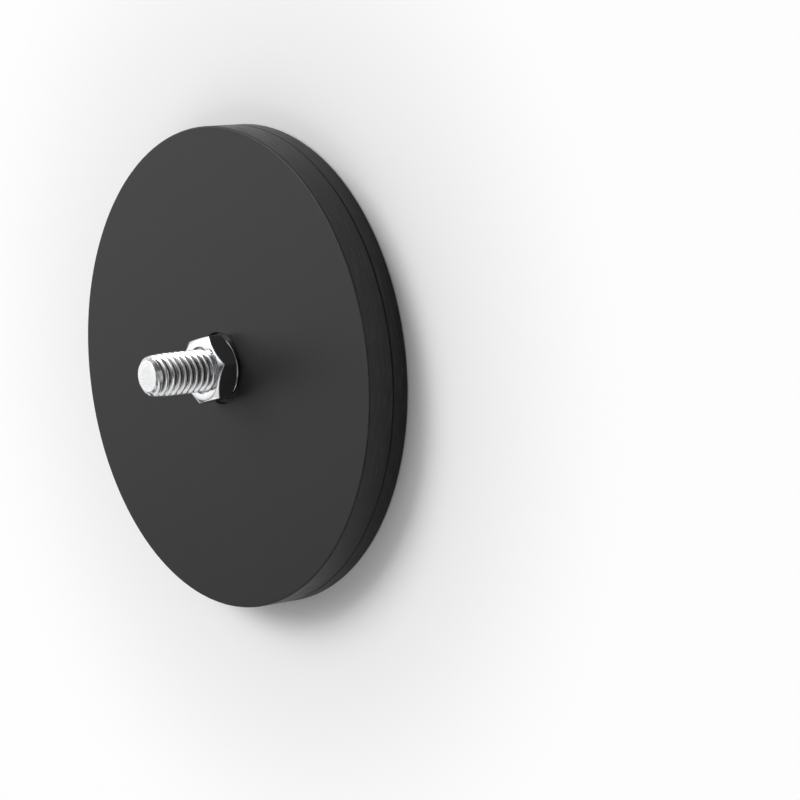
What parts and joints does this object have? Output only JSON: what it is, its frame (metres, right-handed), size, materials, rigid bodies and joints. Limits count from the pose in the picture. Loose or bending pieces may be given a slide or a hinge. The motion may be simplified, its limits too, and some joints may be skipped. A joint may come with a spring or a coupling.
{
  "type": "magnetic mount",
  "caption": "Flat round rubber-coated magnet with a zinc-bright threaded stud and a thin lock nut, for fixing a lamp, sensor or bracket to a steel surface.",
  "frame": {"origin": "centre of the magnetic face, on which the mount rests", "axes": "+Z along the stud, away from the magnetic face; the nut's first corner lies close to -Y"},
  "size_m": [0.088, 0.088, 0.0245],
  "materials": {
    "black_rubber": "matt black moulded rubber with a fine even grain",
    "zinc_bright_steel": "bright zinc plate on turned and rolled steel",
    "mild_steel": "plain punched steel, dull grey",
    "nickel_plate": "bright nickel plate"
  },
  "bodies": {
    "root": {"rubber_jacket": "black_rubber", "backing_plate": "mild_steel", "threaded_bush": "zinc_bright_steel", "stud": "zinc_bright_steel", "lock_nut": "zinc_bright_steel", "inner_magnet_1": "nickel_plate", "inner_magnet_2": "nickel_plate", "inner_magnet_3": "nickel_plate", "inner_magnet_4": "nickel_plate", "inner_magnet_5": "nickel_plate", "inner_magnet_6": "nickel_plate", "outer_magnet_1": "nickel_plate", "outer_magnet_2": "nickel_plate", "outer_magnet_3": "nickel_plate", "outer_magnet_4": "nickel_plate", "outer_magnet_5": "nickel_plate", "outer_magnet_6": "nickel_plate", "outer_magnet_7": "nickel_plate", "outer_magnet_8": "nickel_plate", "outer_magnet_9": "nickel_plate", "outer_magnet_10": "nickel_plate", "outer_magnet_11": "nickel_plate", "outer_magnet_12": "nickel_plate"}
  },
  "joints": []
}
